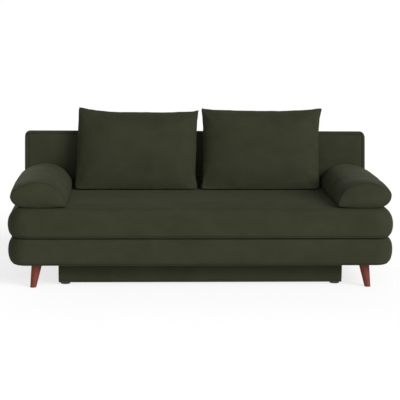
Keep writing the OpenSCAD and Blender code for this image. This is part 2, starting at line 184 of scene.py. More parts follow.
def upholsteryCloth(name):                       # short-pile velour over a fine weave
    look, f = clothLook, Finish(name)
    brushed = f.noise(look["brushedScale"], 4, 0.55, (1, 1, 1.6), 0.4)
    patch = f.noise(look["patchScale"], 3, 0.6)
    fibre = f.noise(look["fibreScale"], 2, 0.7)
    pile = brushed * 0.55 + patch * 0.3 + fibre * 0.28 - 0.16
    tone = f.ramp(pile, look["pileRange"])
    turns = 2 * math.pi / look["weavePitch"]
    spot = f.node("ShaderNodeSeparateXYZ", inputs={"Vector": f.place()})
    x, y, z = (Wire(f.tree, socket) for socket in spot.socket.node.outputs)
    warpThread = ((x + y) * turns).math("SINE")
    weftThread = ((z + y * 0.6) * turns).math("SINE")
    weave = warpThread * weftThread * 0.5 + 0.5
    fine = f.bump(weave * 0.5 + fibre * 0.9, 0.35, look["weaveHeight"])
    soft = f.bump(brushed + patch * 0.5, 0.22, look["napHeight"], fine)
    f.give(Base_Color=f.mix(tone, look["deep"], look["light"]), Normal=soft)
    f.give(Roughness=f.ramp(tone, (0.0, 1.0), look["roughness"]), Specular_IOR_Level=look["specular"])
    f.give(Sheen_Weight=look["sheenWeight"], Sheen_Roughness=look["sheenRough"])
    f.give(Sheen_Tint=(*look["sheen"], 1))
    return f.material


def threadFinish(name, colour):                  # twisted sewing thread
    f = Finish(name)
    twist = f.node("ShaderNodeTexWave", {"wave_type": "BANDS", "bands_direction": "DIAGONAL"},
                   {"Vector": f.place(), "Scale": 260.0, "Distortion": 1.5})
    fuzz = f.noise(700, 2)
    # painted shade: the colour is darker down the grooves of the twist, where the bump is low; the fuzz is
    # the thread's own uneven tone
    f.give(Base_Color=f.mix(twist * 0.6 + fuzz * 0.4, shaded(colour, 0.6), colour), Specular_IOR_Level=0.05)
    f.give(Roughness=0.95 - twist * 0.1, Normal=f.bump(twist + fuzz * 0.5, 0.5, 0.0006))
    return f.material


def woodFinish(name, along, pale, dark, grain=26, gloss=0.45, coat=0.0):   # along is the axis of the grain
    f = Finish(name)
    stretch = tuple(0.07 if axis == along else 1.0 for axis in "xyz")
    rings = f.noise(grain, 5, 0.62, stretch, 1.4)
    pores = f.noise(grain * 18, 2, 0.6, stretch)
    cloud = f.noise(4, 2)
    between = tuple((a + b) / 2 for a, b in zip(pale, dark))
    stops = [(0.32, dark), (0.5, pale), (0.62, between), (0.78, pale)]
    bands = f.node("ShaderNodeValToRGB", {"stops": stops}, {"Fac": rings})
    specks = f.ramp(pores, (0.58, 0.75))
    shade = f.mix(specks * 0.45, f.mix(cloud * 0.35, bands, dark), shaded(dark, 0.45))
    f.give(Base_Color=shade, Roughness=gloss + rings * 0.18 + specks * 0.15, Specular_IOR_Level=0.3)
    f.give(Normal=f.bump(rings + specks * -0.6, 0.25, 0.0008), Coat_Weight=coat, Coat_Roughness=0.25)
    return f.material


def plyFinish(name, pale, dark):                 # birch ply with its long figure and short flecks
    f = Finish(name)
    figure = f.noise(9, 4, 0.6, (0.25, 1, 1), 1.0)
    fleck = f.noise(160, 2, 0.5, (0.15, 1, 1))
    f.give(Base_Color=f.mix(figure * 0.8 + fleck * 0.3, dark, pale))
    f.give(Roughness=0.6 + fleck * 0.2, Normal=f.bump(fleck, 0.2, 0.0005))
    return f.material


def steelFinish(name, colour, metal, rough, streak):   # streak is how much finer it is across than along
    f = Finish(name)
    brushed = f.noise(240, 3, 0.6, (1, streak, 1))
    grime = f.noise(18, 4, 0.65)
    f.give(Base_Color=f.mix(grime * 0.5, colour, shaded(colour, 0.72)), Metallic=metal)
    f.give(Roughness=rough + brushed * 0.16 + grime * 0.1)
    f.give(Normal=f.bump(brushed + grime * 0.3, 0.18, 0.0004))
    return f.material


def mouldedFinish(name, colour, rough=0.5):      # moulded plastic or rubber with a fine spark-eroded grain
    f = Finish(name)
    grain = f.noise(1400, 2, 0.6)
    dust = f.noise(30, 3)
    f.give(Base_Color=f.mix(dust * 0.4, colour, shaded(colour, 1.9, 0.006)))
    f.give(Roughness=rough + grain * 0.18, Normal=f.bump(grain, 0.3, 0.0004))
    return f.material


def feltFinish(name, colour):                    # spun lining cloth with its dimpled bonding
    f = Finish(name)
    dimple = f.node("ShaderNodeTexVoronoi", inputs={"Vector": f.place(), "Scale": 420.0})
    hair = f.noise(600, 3, 0.7)
    f.give(Base_Color=f.mix(hair, shaded(colour, 0.6), shaded(colour, 1.7)), Sheen_Weight=0.1)
    f.give(Roughness=0.95 - hair * 0.1, Normal=f.bump(dimple + hair * 0.5, 0.5, 0.0005))
    return f.material


def webFinish(name, colour):                     # woven elastic webbing
    f = Finish(name)
    rib = f.node("ShaderNodeTexWave", {"bands_direction": "Z"}, {"Vector": f.place(), "Scale": 110.0})
    cord = f.node("ShaderNodeTexWave", {"bands_direction": "X"}, {"Vector": f.place(), "Scale": 60.0})
    # painted shade: the colour is darker in the hollows between the ribs and cords, where the bump is low
    f.give(Base_Color=f.mix(rib * 0.6 + cord * 0.4, shaded(colour, 0.5), colour))
    f.give(Roughness=0.9 - rib * 0.1, Normal=f.bump(rib + cord * 0.6, 0.6, 0.0008))
    return f.material


pine = ((0.66, 0.47, 0.27), (0.48, 0.30, 0.15), 20, 0.6)
velour = upholsteryCloth("velour")
pillowVelour = upholsteryCloth("pillowVelour")   # the loose cushions' own, to change alone
darkThread = threadFinish("darkThread", (0.022, 0.023, 0.014))
stainedLeg = woodFinish("stainedLeg", "z", (0.128, 0.019, 0.0085), (0.064, 0.009, 0.004), 30, 0.5)
pineAlong = woodFinish("pineAlong", "x", *pine)
pineAcross = woodFinish("pineAcross", "y", *pine)
pineUp = woodFinish("pineUp", "z", *pine)
beechSlat = woodFinish("beechSlat", "y", (0.74, 0.54, 0.34), (0.56, 0.37, 0.21), 34, 0.42, 0.2)
boxPly = plyFinish("boxPly", (0.52, 0.38, 0.23), (0.36, 0.24, 0.13))
powderBlack = steelFinish("powderBlack", (0.022, 0.022, 0.024), 0.35, 0.42, 1)
zincPlate = steelFinish("zincPlate", (0.62, 0.62, 0.60), 1.0, 0.22, 5)
blackPlastic = mouldedFinish("blackPlastic", (0.014, 0.014, 0.014))
blackRubber = mouldedFinish("blackRubber", (0.018, 0.018, 0.018), 0.7)
liningFelt = feltFinish("liningFelt", (0.020, 0.020, 0.021))
darkWebbing = webFinish("darkWebbing", (0.09, 0.09, 0.08))
print("materials made")


# mesh helpers: every piece is drawn in the frame, in metres
def makePiece(name, verts, faces, material, body):
    mesh = bpy.data.meshes.new(name)
    mesh.from_pydata([tuple(map(float, v)) for v in verts], [], faces)
    mesh.validate()
    mesh.update()
    mesh.materials.append(material)
    piece = bpy.data.objects.new(name, mesh)
    bpy.context.scene.collection.objects.link(piece)
    mesh.polygons.foreach_set("use_smooth", [True] * len(mesh.polygons))
    work = bmesh.new()
    work.from_mesh(mesh)
    bmesh.ops.recalc_face_normals(work, faces=work.faces)   # turns every face outward
    work.to_mesh(mesh)
    work.free()
    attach(piece, body)
    return piece


def stations(low, high, edge, step, bends=6):    # places along a side, close together near its two ends
    turn = [edge * (1 - math.cos(quarter * i / bends)) for i in range(bends)]
    count = max(1, round((high - low - 2 * edge) / step))
    middle = [low + edge + (high - low - 2 * edge) * i / count for i in range(count + 1)]
    return np.array([low + t for t in turn] + middle + [high - t for t in reversed(turn)])


def shellOfBox(*rows):                           # the surface of a box, as a grid on each face
    counts = [len(row) - 1 for row in rows]
    index, verts, faces = {}, [], []

    def corner(key):
        if key not in index:
            index[key] = len(verts)
            verts.append(tuple(row[place] for row, place in zip(rows, key)))
        return index[key]
    for fixed in (2, 1, 0):
        first, second = [axis for axis in range(3) if axis != fixed]
        for end in (0, counts[fixed]):
            for i in range(counts[first]):
                for j in range(counts[second]):
                    face = []
                    for m, n in ((i, j), (i + 1, j), (i + 1, j + 1), (i, j + 1)):
                        key = [end] * 3
                        key[first], key[second] = m, n
                        face.append(corner(tuple(key)))
                    faces.append(face)
    return np.array(verts, float), faces


def roundEdges(points, low, high, radius):       # rolls the edges of a box to a radius
    low, high = np.array(low) + radius, np.array(high) - radius
    core = np.clip(points, low, high)
    away = points - core
    reach = np.abs(away).max(1)
    length = np.linalg.norm(away, axis=1)
    scale = np.where(length > 1e-9, reach / np.maximum(length, 1e-9), 0)
    return core + away * scale[:, None]


def ripple(points, size, seed, octaves=3):       # smooth waves from -1 to 1, about size metres long
    headings, shorter, weaker = 7, 0.6, 0.55     # waves per octave; the next is shorter and weaker
    chance = np.random.default_rng(seed)
    total, weight = np.zeros(len(points)), 0.0
    for octave in range(octaves):
        for _ in range(headings):
            heading = chance.normal(size=3)
            heading *= 2 * math.pi / (size * shorter ** octave) / np.linalg.norm(heading)
            total += weaker ** octave * np.sin(points @ heading + chance.uniform(0, 2 * math.pi))
        weight += weaker ** octave * headings * 0.45
    return np.clip(total / weight, -1, 1)


def ringFaces(size, count, wrap=False):          # quads between count rings of size points
    faces = []
    for i in range(count if wrap else count - 1):
        for j in range(size):
            a, b, k = i * size, (i + 1) % count * size, (j + 1) % size
            faces.append([a + j, a + k, b + k, b + j])
    return faces


def fanFaces(ring, size, pole):                  # triangles from a ring to one point
    return [[ring * size + j, ring * size + (j + 1) % size, pole] for j in range(size)]


def threadTube(name, path, radius, body, closed=False, sides=6):   # a sewing thread along a line of points
    path = np.array(path, float)
    count = len(path)
    ahead = np.roll(path, -1, 0) - np.roll(path, 1, 0)
    if not closed:
        ahead[0], ahead[-1] = path[1] - path[0], path[-1] - path[-2]
    ahead /= np.maximum(np.linalg.norm(ahead, axis=1), 1e-9)[:, None]
    side = np.zeros_like(path)
    guide = np.array([0.13, 0.29, 0.95])         # any direction that no seam follows
    for i in range(count):
        guide = guide - ahead[i] * (guide @ ahead[i])
        guide /= np.linalg.norm(guide)
        side[i] = guide
    up = np.cross(ahead, side)
    verts = []
    for i in range(count):
        for s in range(sides):
            turn = 2 * math.pi * s / sides
            verts.append(path[i] + radius * (math.cos(turn) * side[i] + math.sin(turn) * up[i]))
    faces = ringFaces(sides, count, closed)
    if not closed:
        faces += [list(range(sides)), [(count - 1) * sides + s for s in range(sides)]]
    makePiece(name, verts, faces, darkThread, body)


def resample(path, step=0.012, closed=False):    # points a fixed distance apart along a line
    path = np.array(path, float)
    if closed:
        path = np.vstack([path, path[:1]])
    walk = np.concatenate([[0], np.cumsum(np.linalg.norm(np.diff(path, axis=0), axis=1))])
    count = max(2, round(walk[-1] / step))
    at = np.linspace(0, walk[-1], count + 1)
    if closed:
        at = at[:-1]
    return np.column_stack([np.interp(at, walk, path[:, c]) for c in range(3)])


def ease(t):                                     # a smooth step from 0 to 1
    t = np.clip(t, 0, 1)
    return t * t * (3 - 2 * t)


# seat and base rolls: padded all round, boxy along the front and half round at their ends
rollLook = {
    "corner": 0.098,                             # plan radius of the front corners
    "bulge": 0.043,                              # how far the padding swells past its edges
    "crisp": 8.0,                                # where the rolls meet: 2 is a half round, more is boxier
    "soft": 3.6,                                 # the seat's top edge and the base's lower edge
    # ends: the widest height (-1 to 1), then the inset and roundness above it, and below it
    "baseEnd": (0.0, 0.043, 0.385, 0.043, 0.385),
    "seatEnd": (-0.25, 0.060, 0.75, 0.043, 0.33),
    "rearSwell": 0.14,                           # share of the bulge along the seat's rear edge
    "seamUp": 0.011,                             # height of the lower seam above the roll's underside
    "seamDepth": 0.0030,
    "seamWide": 0.0026,
    "thread": 0.0009,
    "edgeFall": 0.010,                           # how far the seat's top drops towards its edges
    "fallFrom": 0.04,
    "fallOver": 0.16,
    "wave": 0.0013,                              # depth of the soft waves in the cover
    "rise": 0.003,                               # the base's padding comes up to meet the seat
    "inner": 0.0015,                             # the base roll's inner face, from the corner centre line
}


# how far the cover is drawn in at height h (-1 to 1); endness is 0 along the front and 1 along an end
def swell(h, endness, softSide):
    look = rollLook
    power = np.where(h * softSide > 0, look["soft"], look["crisp"])
    widest, upper, upperPower, lower, lowerPower = look["seatEnd" if softSide > 0 else "baseEnd"]
    off = np.clip((h - widest) / np.where(h > widest, 1 - widest, 1 + widest), -1, 1)
    above = upper * (1 - (1 - off * off) ** upperPower)
    under = lower * (1 - (1 - off * off) ** lowerPower)
    arc = np.where(h > widest, above, under)
    h = np.clip(np.abs(h), 0, 1)
    boxy = (1 - h ** power) ** (1 / power)
    return look["bulge"] * (1 - boxy) * (1 - endness) + arc * endness


def seamDip(z, half):                            # the sewn groove near the underside
    look = rollLook
    return look["seamDepth"] * np.exp(-((z + half - look["seamUp"]) / look["seamWide"]) ** 2)


def rollRows(count, half=1.0):                   # heights up a roll, closer at its top and underside
    rows = np.sin(np.linspace(-quarter, quarter, count)) * half * 0.97
    rows[0], rows[-1] = -half, half
    return rows


def makeSeatRoll():
    look = rollLook
    low, high, corner = seatLow, seatHigh, look["corner"]
    half, middle = (high.z - low.z) / 2, (high.z + low.z) / 2
    grid, faces = shellOfBox(stations(0, 1, 0.055, 0.008), stations(0, 1, 0.13, 0.016), rollRows(45))
    h, z = grid[:, 2], grid[:, 2] * half
    groove = seamDip(z, half)
    frontIn, endIn = swell(h, 0, 1) + groove, swell(h, 1, 1) + groove
    rearIn = look["rearSwell"] * swell(h, 0, 1) + groove
    x = (low.x + endIn) + (high.x - low.x - 2 * endIn) * grid[:, 0]
    y = (low.y + frontIn) + (high.y - rearIn - low.y - frontIn) * grid[:, 1]
    px = (np.abs(x) - (high.x - corner)) / (corner - endIn)
    py = ((low.y + corner) - y) / (corner - frontIn)
    near = (px > 0) & (py > 0)                   # turned round the front corners
    turn = np.arctan2(px, py)
    reach = np.maximum(px, py) * (corner - swell(h, ease(turn / quarter), 1) - groove)
    x = np.where(near, np.sign(x) * (high.x - corner + reach * np.sin(turn)), x)
    y = np.where(near, low.y + corner - reach * np.cos(turn), y)
    start, over = look["fallFrom"], look["fallOver"]
    edge = np.minimum(np.minimum(high.x - np.abs(x) - start, y - low.y - start), over) / over
    z = z - look["edgeFall"] * (1 - np.clip(edge, 0, 1)) ** 2 * np.clip(h, 0, 1) ** 2
    points = np.column_stack([x, y, middle + z])
    wave = np.abs(ripple(points, 0.34, 3)) * look["wave"]
    side = np.abs(h) < 0.95
    atFront = grid[:, 1] < 1e-6
    atEnd = ~atFront & ((grid[:, 0] < 1e-6) | (grid[:, 0] > 1 - 1e-6))
    points[:, 2] -= np.where(h > 0.999, wave * 1.3, 0)
    points[:, 1] += np.where(side & atFront, wave, 0)
    points[:, 0] -= np.where(side & atEnd, np.sign(points[:, 0]) * wave, 0)
    roll = makePiece("seatRoll", points, faces, velour, "seat")
    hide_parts("seat_cover", "seat_foam", "seat_front_pad", "seat_end_pads")


def rollPath(rear, steps):                       # plan line of a roll: place, outward direction, endness
    cx, cy = halfWidth - rollLook["corner"], frontY + rollLook["corner"]
    bend = [quarter * i / 16 for i in range(1, 16)]
    path = [((-cx, y), (-1, 0), 1.0) for y in np.linspace(rear, cy, steps)]
    path += [((-cx, cy), (-math.cos(a), -math.sin(a)), float(ease(1 - a / quarter))) for a in bend]
    path += [((x, cy), (0, -1), 0.0) for x in np.linspace(-cx, cx, round(steps * 2.6))]
    path += [((cx, cy), (math.sin(a), -math.cos(a)), float(ease(a / quarter))) for a in bend]
    return path + [((cx, y), (1, 0), 1.0) for y in np.linspace(cy, rear, steps)]


def makeBaseRoll():                              # runs round the front and both ends of the timber frame
    look = rollLook
    low, high, rise, corner, inner = baseLow, baseHigh, look["rise"], look["corner"], look["inner"]
    half, middle = (high.z + rise - low.z) / 2, (high.z + rise + low.z) / 2
    heights = rollRows(39, half)
    path = rollPath(high.y, 60)
    verts, pulls = [], []
    flats = np.linspace(corner - look["bulge"], inner, 7)[1:]
    for (x, y), (nx, ny), endness in path:
        ring = [(s, -half) for s in reversed(flats)]
        for z in heights:
            ring.append((corner - float(swell(z / half, endness, -1)) - float(seamDip(z, half)), z))
        ring += [(s, half) for s in flats] + [(inner, z) for z in np.linspace(half, -half, 8)[1:-1]]
        for s, z in ring:
            verts.append((x + nx * s, y + ny * s, middle + z))
            pulls.append((nx, ny) if s > corner - look["bulge"] + 0.004 else (0, 0))
    size = len(ring)
    faces = ringFaces(size, len(path))
    for first in (0, len(path) - 1):             # rear ends, drawn in and closed
        edge = [first * size + j for j in range(size)]
        hub = np.mean([verts[r] for r in edge], 0)
        for share in (0.9, 0.65, 0.35):
            inside = list(range(len(verts), len(verts) + size))
            verts += [tuple(hub + (np.array(verts[first * size + j]) - hub) * share) for j in range(size)]
            for j in range(size):
                k = (j + 1) % size
                faces.append([edge[j], edge[k], inside[k], inside[j]])
            edge = inside
        verts.append(tuple(hub))
        faces += [[edge[j], edge[(j + 1) % size], len(verts) - 1] for j in range(size)]
    points = np.array(verts)
    wave = np.abs(ripple(points, 0.31, 8)) * look["wave"]
    points[:len(pulls), :2] -= np.array(pulls) * wave[:len(pulls), None]
    roll = makePiece("baseRoll", points, faces, velour, "base")
    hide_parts("base_cover", "base_front_pad", "base_end_pads")


def makeRollSeams():                             # the thread lying in each roll's lower seam
    look = rollLook
    for body, low, high, short, softSide in (("seat", seatLow, seatHigh, 0.006, 1),
                                             ("base", baseLow, baseHigh, 0.002, -1)):
        half = (high.z - low.z) / 2
        line = []
        for (x, y), (nx, ny), endness in rollPath(high.y - short, 40):
            out = look["corner"] - float(swell((look["seamUp"] - half) / half, endness, softSide))
            out -= look["seamDepth"] * 0.75
            line.append((x + nx * out, y + ny * out, low.z + look["seamUp"]))
        threadTube(body + "Seam", resample(line), look["thread"], body)


# backrest: a boxy upholstered panel whose lower edge is a half-round roll
backLook = {
    "leanDegrees": 10.0,
    "radius": 0.014,
    "topRound": 0.030,                           # the padded top edge and its corners
    "topCrown": 0.003,                           # the top edge is this much higher along its middle
    "crown": 0.007,                              # how much the middle stands proud of the edges
    "above": 0.364,                              # hinge axis to the top
    "notch": 0.0724,                             # the panel is full width above this
    "rollHalf": 0.8958,
    "seamIn": 0.020,                             # the sewn line lies this far in from the edge of each face
    "seamDepth": 0.0042,
    "seamWide": 0.0048,
    "thread": 0.0011,
    "wave": 0.0014,
    "rollWave": 0.001,
}
leanTurn = Matrix.Rotation(-math.radians(backLook["leanDegrees"]), 4, "X")
leanArray = np.array(Matrix.Translation((0, axisY, axisZ)) @ leanTurn)


def toLean(points):                              # from the panel's own axes to the frame
    points = np.array(points, float)
    return points @ leanArray[:3, :3].T + leanArray[:3, 3]


def faceRows(low, high, step):                   # rows over a face, close together where the sewn line lies
    look = backLook
    rows = stations(low, high, look["radius"], step)
    fine = look["seamIn"] + np.arange(-5, 6) * 0.0022
    edge = look["radius"] * np.array([0, 0.1, 0.3])
    inside = rows[(rows > low + fine[-1]) & (rows < high - fine[-1])]
    return np.sort(np.concatenate([inside, low + fine, high - fine, low + edge, high - edge]))


def makeBackrest():
    look = backLook
    half, wide = backThick / 2, backHigh.x
    low, high = (-wide, -half, look["notch"]), (wide, half, look["above"])
    xs, zs = faceRows(low[0], high[0], 0.011), faceRows(low[2], high[2], 0.011)
    points, faces = shellOfBox(xs, stations(low[1], high[1], look["radius"], 0.014), zs)
    rounded = roundEdges(points, low, high, look["radius"])
    big = look["topRound"]                       # rounds the top edge and corners a little more
    over = rounded[:, 2] > high[2] - big
    inward = np.clip(rounded, (low[0] + big, low[1] + big, -9), tuple(h - big for h in high))
    away = rounded - inward
    reach = np.linalg.norm(away, axis=1)
    pull = np.where(over & (reach > big), big / np.maximum(reach, 1e-9), 1)
    rounded = inward + away * pull[:, None]
    u = (points[:, 2] - low[2]) / (high[2] - low[2])
    across = points[:, 0] / wide
    face = np.abs(points[:, 1]) > half - 1e-6
    fill = (1 - np.abs(across) ** 10) * (1 - np.abs(2 * u - 1) ** 5)
    sink = look["crown"] * (1 - fill)
    rounded[:, 1] -= np.sign(rounded[:, 1]) * sink * np.clip(np.abs(rounded[:, 1]) / half, 0, 1)
    wave = np.abs(ripple(rounded, 0.3, 21)) * look["wave"]
    rounded[:, 1] -= np.where(face, np.sign(points[:, 1]) * wave, 0)
    edge = np.minimum(high[2] - points[:, 2], points[:, 2] - low[2])
    edge = np.minimum(edge, wide - np.abs(points[:, 0]))
    groove = look["seamDepth"] * np.exp(-np.abs((edge - look["seamIn"]) / look["seamWide"]) ** 1.5)
    rounded[:, 1] -= np.where(face, np.sign(points[:, 1]) * groove, 0)
    topDip = look["topCrown"] * (1 - np.abs(points[:, 1] / half) ** 3)
    rounded[:, 2] -= np.where(points[:, 2] > high[2] - 1e-6, look["topCrown"] - topDip, 0)
    panel = makePiece("backrestPanel", toLean(rounded), faces, velour, "backrest")
    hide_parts("back_cover", "back_foam_front", "back_foam_rear")


def makeBackrestRoll():                          # the half-round under the panel, seen along the sofa
    look = backLook
    half, end, top = backThick / 2, look["rollHalf"], look["notch"] + 0.004
    outline = [(half * math.cos(a), half * math.sin(a)) for a in np.linspace(math.pi, 2 * math.pi, 33)]
    outline += [(half, u) for u in np.linspace(0, top, 8)[1:]]
    outline += [(y, top) for y in np.linspace(half, -half, 10)[1:-1]]
    outline += [(-half, u) for u in np.linspace(top, 0, 8)[:-1]]
    caps = [(0.0, 0.35), (0.0, 0.7), (0.001, 0.93), (0.006, 0.985)]   # in from the end, size of the ring
    rings = [(-end + d, share) for d, share in caps]
    rings += [(x, 1.0) for x in np.linspace(-end + 0.014, end - 0.014, 150)]
    rings += [(end - d, share) for d, share in reversed(caps)]
    verts = []
    for x, share in rings:
        for y, u in outline:
            shrink = share if u <= 0 else 1 - (1 - share) * max(0.0, 1 - u / 0.08)
            verts.append((x, y * (share if share < 0.95 else shrink), u * share))
    size, count = len(outline), len(rings)
    verts += [(-end, 0.0, 0.0), (end, 0.0, 0.0)]
    faces = ringFaces(size, count) + fanFaces(0, size, count * size)
    faces += fanFaces(count - 1, size, count * size + 1)
    verts = np.array(verts)
    inward = np.abs(ripple(verts, 0.25, 5)) * look["rollWave"]
    radial = np.column_stack([np.zeros(len(verts)), verts[:, 1], np.minimum(verts[:, 2], 0)])
    radial /= np.maximum(np.linalg.norm(radial, axis=1), 1e-6)[:, None]
    verts = verts - radial * inward[:, None]
    roll = makePiece("backrestRoll", toLean(verts), faces, velour, "backrest")


def makeBackSeams():                             # a seam round the front and the rear face of the panel
    look = backLook
    half, wide, r = backThick / 2, backHigh.x, look["radius"]
    reach = r - look["seamIn"] + 0.0006
    for name, side in (("backFrontSeam", -1), ("backRearSeam", 1)):
        y = side * (half - look["crown"] * 0.84 - look["seamDepth"])
        loop = []
        for cx, cz, start in ((wide - r, look["above"] - r, 0), (-wide + r, look["above"] - r, 90),
                              (-wide + r, look["notch"] + r, 180), (wide - r, look["notch"] + r, 270)):
            for a in np.linspace(0, 90, 6):
                turn = math.radians(start + a)
                loop.append((cx + reach * math.cos(turn), y, cz + reach * math.sin(turn)))
        threadTube(name, toLean(resample(loop, closed=True)), look["thread"], "backrest", True)


# bedding box skirt: cloth over the box front and sides, rounded at its corners, with its bottom hem
skirtLook = {
    "proud": 0.0025,                             # the cloth and its wadding stand off the timber
    "radius": 0.0075,
    "under": 0.0024,                             # the cloth wraps this far below the front board
    "turnIn": 0.014,
    "hem": 0.012,                                # height of the hem's sewn ridge
    "ridge": 0.0013,
    "thread": 0.0008,
    "wave": 0.0009,
}


def makeBoxSkirt():
    look = skirtLook
    p, r = look["proud"], look["radius"]
    left, right, front, rear = boxLow.x - p, boxHigh.x + p, boxLow.y - p, boxHigh.y
    bottom, top = boxLow.z - look["under"], boxHigh.z
    bend = [(math.cos(quarter * i / 7), math.sin(quarter * i / 7)) for i in range(1, 7)]
    line = [(left, y, -1, 0) for y in np.linspace(rear, front + r, 40)]
    line += [(left + r - r * c, front + r - r * s, -c, -s) for c, s in bend]
    line += [(x, front, 0, -1) for x in np.linspace(left + r, right - r, 130)]
    line += [(right - r + r * s, front + r - r * c, s, -c) for c, s in bend]
    line += [(right, y, 1, 0) for y in np.linspace(front + r, rear, 40)]
    # the cloth's section: how far in from its face, and height
    section = [(look["turnIn"], bottom), (0.004, bottom), (0.0012, bottom + 0.0008), (0.0, bottom + 0.0032)]
    for z in np.linspace(bottom + 0.007, top - 0.002, 20):
        section.append((look["ridge"] * math.exp(-((z - bottom - look["hem"]) / 0.002) ** 2), z))
    section += [(0.0008, top), (0.0040, top)]
    section += [(0.0042, z) for z in np.linspace(top - 0.01, bottom + 0.006, 4)]
    section += [(look["turnIn"], bottom + 0.0012)]
    points = np.array([(x - nx * d, y - ny * d, z) for x, y, nx, ny in line for d, z in section])
    size, last = len(section), len(line) - 1
    faces = ringFaces(size, len(line)) + [list(range(size)), [last * size + j for j in range(size)]]
    facing = np.repeat(np.array([(nx, ny) for x, y, nx, ny in line]), size, 0)
    points[:, :2] -= facing * (np.abs(ripple(points, 0.22, 14)) * look["wave"])[:, None]
    skirt = makePiece("boxSkirt", points, faces, velour, "base")
    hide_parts("box_cover")
    hem = [(x - nx * 0.0011, y - ny * 0.0011, bottom + look["hem"]) for x, y, nx, ny in line]
    threadTube("boxHemSeam", resample(hem), look["thread"], "base")


# soft cushions are drawn first, then filled by a short cloth simulation that may move a point only a little
fillCloth = {
    "quality": 5,
    "mass": 0.3,
    "tension_stiffness": 15,
    "compression_stiffness": 15,
    "shear_stiffness": 5,
    "bending_stiffness": 2.0,
    "use_pressure": True,
    "shrink_min": -0.004,
}


def fillOut(piece, press, cap, frames, pinned):
    scene = bpy.context.scene
    drawn = np.array([v.co for v in piece.data.vertices], float)
    cloth = piece.modifiers.new("fill", "CLOTH")
    for key, value in fillCloth.items():
        setattr(cloth.settings, key, value)
    cloth.settings.uniform_pressure_force = press
    cloth.settings.effector_weights.gravity = 0
    cloth.collision_settings.use_collision = False
    cloth.collision_settings.use_self_collision = False
    group = piece.vertex_groups.new(name="sewn")
    group.add([int(i) for i in pinned], 1.0, "REPLACE")
    cloth.settings.vertex_group_mass = "sewn"
    cloth.point_cache.frame_start = 1
    cloth.point_cache.frame_end = frames + 1
    for number in range(1, frames + 1):
        scene.frame_set(number)
    shape = piece.evaluated_get(bpy.context.evaluated_depsgraph_get())
    moved = np.array([v.co for v in shape.data.vertices], float) - drawn
    piece.modifiers.clear()
    piece.vertex_groups.clear()
    scene.frame_set(1)
    length = np.linalg.norm(moved, axis=1)
    kept = cap * np.tanh(length / cap)
    return drawn + moved * (kept / np.maximum(length, 1e-9))[:, None]


def reshape(piece, points):
    piece.data.vertices.foreach_set("co", np.asarray(points, np.float32).ravel())
    piece.data.update()


# end bolsters: a low roll of soft foam in a wrap, with a cap sewn in at each end
bolsterLook = {
    "innerWidest": 0.09,                         # height of the widest line on the inner side, as a share
    "outerWidest": {"left": 0.43, "right": 0.51},
    "reachIn": {"left": 0.003, "right": -0.001},   # how much wider each side is than the solid
    "reachOut": {"left": 0.002, "right": -0.002},
    "upper": (1.06, 1.08),                       # roundness above it, inner and outer: less is boxier
    "under": (0.62, 1.0),                        # and below it
    "underSide": (0.8, 0.56),
    "hub": 0.44,                                 # height of the middle of the caps, as a share
    "capShares": [0.1, 0.2, 0.31, 0.42, 0.53, 0.63, 0.72, 0.80, 0.87, 0.925, 0.962],
    "capEdge": (0.972, 0.028),                   # where the cap's seam lies, and the step out to the wrap
    "dome": 0.018,
    "domePower": 2.6,
    "fillet": 0.012,
    "barrel": 0.006,                             # the middle is this much fuller than the ends
    "barrelRun": 0.36,
    "pleat": 0.0036,
    "pleats": 46,
    "pleatRun": 0.16,
    "tuck": 0.010,                               # the wrap is drawn in beside the cap
    "tuckRun": 0.030,
    "droop": 0.0150,                             # the front end sags over the seat's edge
    "droopRun": 0.075,
    "droopIn": 0.010,
    "wave": 0.0022,
    "waveLength": 0.19,
    "around": 112,
    "press": 4.0,
    "cap": 0.0035,
    "frames": 14,
    "thread": 0.0009,
}


def bolsterPoint(turn, low, high, name):         # the outline at an angle from the inner side
    look = bolsterLook
    half, height = (high.x - low.x) / 2, high.z - low.z
    c, s = math.cos(turn), math.sin(turn)
    lean = 0.5 - c / 2
    pairs = (look["upper"], look["under"], look["underSide"])
    upper, under, underSide = (a * (1 - lean) + b * lean for a, b in pairs)
    reach = half + look["reachIn"][name] * max(c, 0) + look["reachOut"][name] * max(-c, 0)
    x = reach * math.copysign(abs(c) ** (upper if s > 0 else underSide), c)
    base = height * (look["innerWidest"] * (1 - lean) + look["outerWidest"][name] * lean)
    return x, base + (height - base) * s ** upper if s >= 0 else base - base * abs(s) ** under


def bolsterRings(length):                        # distance along, size, and whether it is on a cap
    look = bolsterLook
    rings = [(look["dome"] * share ** look["domePower"], share, True) for share in look["capShares"]]
    edge, step = look["capEdge"]
    for a in np.linspace(0, quarter, 5):
        rings.append((look["dome"] + look["fillet"] * (1 - math.cos(a)), edge + step * math.sin(a), False))
    first = look["dome"] + look["fillet"]
    wrap = [(v, 1.0, False) for v in stations(first, length - first, 0.03, 0.010)[1:-1]]
    return rings + wrap + [(length - v, share, cap) for v, share, cap in reversed(rings)]


